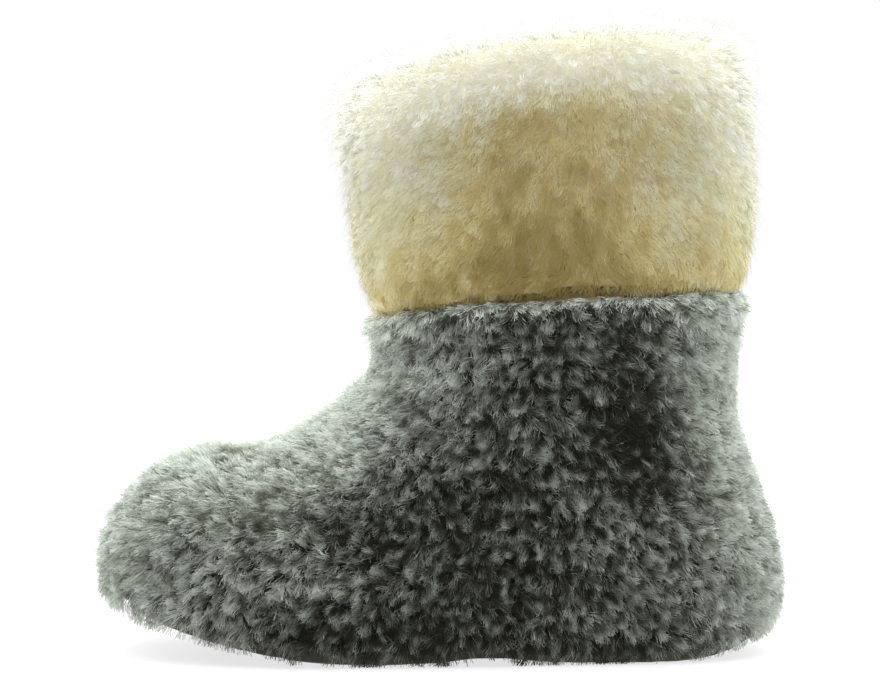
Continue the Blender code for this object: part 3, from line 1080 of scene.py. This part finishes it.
def make_cuff():
    """The turned-down collar, its front tucked in and its edge let down over the grey pile."""
    piece = remeshed("cuff", "cuff_skin", CUFF_VOXEL, 3)
    surface = Surface(piece.data)
    points, normals = surface.points, surface.normals
    y, z = points[:, 1], points[:, 2]
    upward = np.clip(normals[:, 2], 0, 1)
    lumps = CUFF_LUMP * soft_noise(points, CUFF_LUMP_SIZE, 9)
    hem = cuff_hem(points, 1.0, 12.0)
    tuck = TUCK * smoothstep(170.0, 145.0, z) * smoothstep(-22.0, -38.0, y)
    rim = cuff_rim(points) * upward
    inset = np.minimum(CUFF_INSET + lumps, CUFF_MOST * thickness(surface))
    inset = inset * (1 - 0.92 * hem) * (1 - 0.85 * rim) + tuck
    inset = np.clip(surface.smoothed(inset, 6), LEAST_INSET, None)
    roots = points - normals * inset[:, None]
    roots[:, 2] -= (3.2 + 1.8 * smoothstep(0.0, 50.0, y)) * cuff_hem(points, 0.0, 9.0)
    corners = smoothstep(10.0, -35.0, y) + smoothstep(95.0, 125.0, y)
    pile = inset - lumps - tuck + 4.4 * rim + 2.6 * corners * cuff_rim(points)
    ground = Ground(surface, roots, pile, distance_to(points, ["upper"]) > 0.7)

    take_in(piece, roots)
    piece.data.materials.append(felt_material("cuff_felt", CUFF_FELT, FELT_BUMP, pale=LIT_CUFF_FELT))
    # Painted light: the cuff's felt is paler along the rim and where it turns away from the side.
    turned_away = np.clip(end_share(normals, 2.0), 0, 1)
    share = np.maximum(0.8 * turned_away**1.6, 1.1 * cuff_rim(points))
    share *= 1 - 0.5 * smoothstep(30.0, 0.0, above_edge(points))
    share *= 1 - 0.35 * upward
    give_painted_light(piece, 0.8 * surface.smoothed(share, 8))
    return piece, ground


def make_insole():
    """The wool footbed, with its pile on top."""
    piece = remeshed("insole", "insole_pad", INSOLE_VOXEL, 3)
    surface = Surface(piece.data)
    top = surface.normals[:, 2] > 0.5
    inset = np.where(top, np.minimum(INSOLE_INSET, 0.35 * thickness(surface)), LEAST_INSET)
    inset = surface.smoothed(inset, 3)
    roots = surface.points - surface.normals * inset[:, None]
    ground = Ground(surface, roots, inset, top)
    take_in(piece, roots)
    piece.data.materials.append(felt_material("insole_felt", CREAM_FELT, FELT_BUMP))
    return piece, ground


def make_outsole():
    """The suede sole, its edge tucked in under the pile."""
    piece = remeshed("outsole", "outsole_suede", OUTSOLE_VOXEL, 4)
    surface = Surface(piece.data)
    edge = surface.smoothed(1 - surface.normals[:, 2] ** 2, 2)
    take_in(piece, surface.points - surface.normals * LEVEL * SOLE_TUCK * edge[:, None])
    piece.data.materials.append(felt_material("suede_hide", SUEDE, SUEDE_BUMP, 0.9))
    return piece


# ---------------------------------------------------------------- scene


def add_camera():
    camera = bpy.data.cameras.new("camera")
    camera.sensor_width = CAMERA_SENSOR
    camera.lens = CAMERA_LENS
    camera.clip_start = 0.01
    holder = link(bpy.data.objects.new("camera", camera))
    holder.location = Vector(CAMERA_AT) * MM
    look = Vector(CAMERA_TO) * MM - holder.location
    holder.rotation_euler = look.to_track_quat("-Z", "Y").to_euler()
    bpy.context.scene.camera = holder


def add_floor(steps=8):
    mesh = bpy.data.meshes.new("floor")
    grid = np.linspace(-FLOOR_SIDE, FLOOR_SIDE, steps + 1) * MM
    points = [(x, y, 0.0) for y in grid for x in grid]
    row = steps + 1
    faces = [
        (j * row + i, j * row + i + 1, (j + 1) * row + i + 1, (j + 1) * row + i)
        for j in range(steps)
        for i in range(steps)
    ]
    mesh.from_pydata(points, [], faces)
    floor = link(bpy.data.objects.new("floor", mesh))
    material, nodes = new_material("floor_paper")
    shader = nodes.add("ShaderNodeBsdfPrincipled", {
        "Base Color": nodes.ramp(nodes.noise(40.0), ((0.3, FLOOR_PAPER[0]), (0.7, FLOOR_PAPER[1]))),
        "Roughness": 0.9,
        "Specular IOR Level": 0.1,
        "Emission Color": WHITE,
        "Emission Strength": FLOOR_GLOW,
    })
    nodes.finish(shader.outputs["BSDF"])
    mesh.materials.append(material)


def add_light():
    """A bright room behind and above, dim in front, and plain white to the camera."""
    world = bpy.data.worlds.new("studio")
    bpy.context.scene.world = world
    world.use_nodes = True
    nodes = Nodes(world.node_tree, "ShaderNodeOutputWorld")
    way = nodes.add("ShaderNodeTexCoord").outputs["Generated"]
    split = nodes.add("ShaderNodeSeparateXYZ", {"Vector": way})
    x, z = split.outputs["X"], split.outputs["Z"]
    back = nodes.math("MULTIPLY", nodes.eased(x, 0.25, -0.30), nodes.eased(z, 0.75, 0.35))
    back = nodes.math("MULTIPLY", back, BEHIND)
    top = nodes.math("MULTIPLY", nodes.eased(z, 0.35, 0.85), OVERHEAD)
    total = nodes.math("ADD", nodes.math("MAXIMUM", back, top), BEFORE)
    room = nodes.add("ShaderNodeBackground", {"Color": WHITE, "Strength": total})
    plain = nodes.add("ShaderNodeBackground", {"Color": WHITE})
    path = nodes.add("ShaderNodeLightPath")
    both = nodes.add("ShaderNodeMixShader", {
        "Fac": path.outputs["Is Camera Ray"],
        1: room.outputs["Background"],
        2: plain.outputs["Background"],
    })
    nodes.finish(both.outputs["Shader"])
    bpy.context.scene.view_settings.view_transform = "Standard"


add_camera()
add_light()
add_floor()

upper_skin, outside, inside = make_upper()
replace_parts(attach(upper_skin, BODY), "upper")
cuff_skin, cuff_ground = make_cuff()
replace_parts(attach(cuff_skin, BODY), "cuff")
insole_pad, insole_ground = make_insole()
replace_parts(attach(insole_pad, BODY), "insole")
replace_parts(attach(make_outsole(), BODY), "outsole")

GREY_FADE = ((0.2, 0.0), (0.55, 0.8), (0.85, 1.0))
CREAM_FADE = ((0.1, 0.0), (0.5, 0.7), (0.85, 1.0))
grey_wool = strand_material("grey_wool_pile", GREY_TIPS, GREY_ROOTS, GREY_FADE, 0.06, 0.42)
cream_wool = strand_material("cream_wool_pile", CREAM_TIPS, CREAM_ROOTS, CREAM_FADE, 0.2, 0.55)

grey = grow(outside, GREY_STRANDS, GREY, grey_comb, 11)
grey = grey.picked(above_edge(grey.roots) < -0.3)
along_foot = grey.roots[:, 1]
for part, mask in (
    ("toe", along_foot < TOE_END),
    ("middle", (along_foot >= TOE_END) & (along_foot < HEEL_START)),
    ("heel", along_foot >= HEEL_START),
):
    piece = strand_piece("grey_pile_" + part, grey.picked(mask), GREY, grey_wool)
    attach(piece, BODY)

cuff = grow(cuff_ground, CUFF_STRANDS, CREAM, cuff_comb, 12)
in_front = cuff.roots[:, 1] < SHAFT_AXIS[1]
for part, mask in (("front", in_front), ("back", ~in_front)):
    piece = strand_piece("cuff_pile_" + part, cuff.picked(mask), CREAM, cream_wool)
    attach(piece, BODY)

for name, ground, count, comb, seed in (
    ("lining_pile", inside, LINING_STRANDS, lining_comb, 13),
    ("insole_pile", insole_ground, INSOLE_STRANDS, insole_comb, 14),
):
    piece = strand_piece(name, grow(ground, count, LINING, comb, seed), LINING, cream_wool)
    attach(piece, BODY)
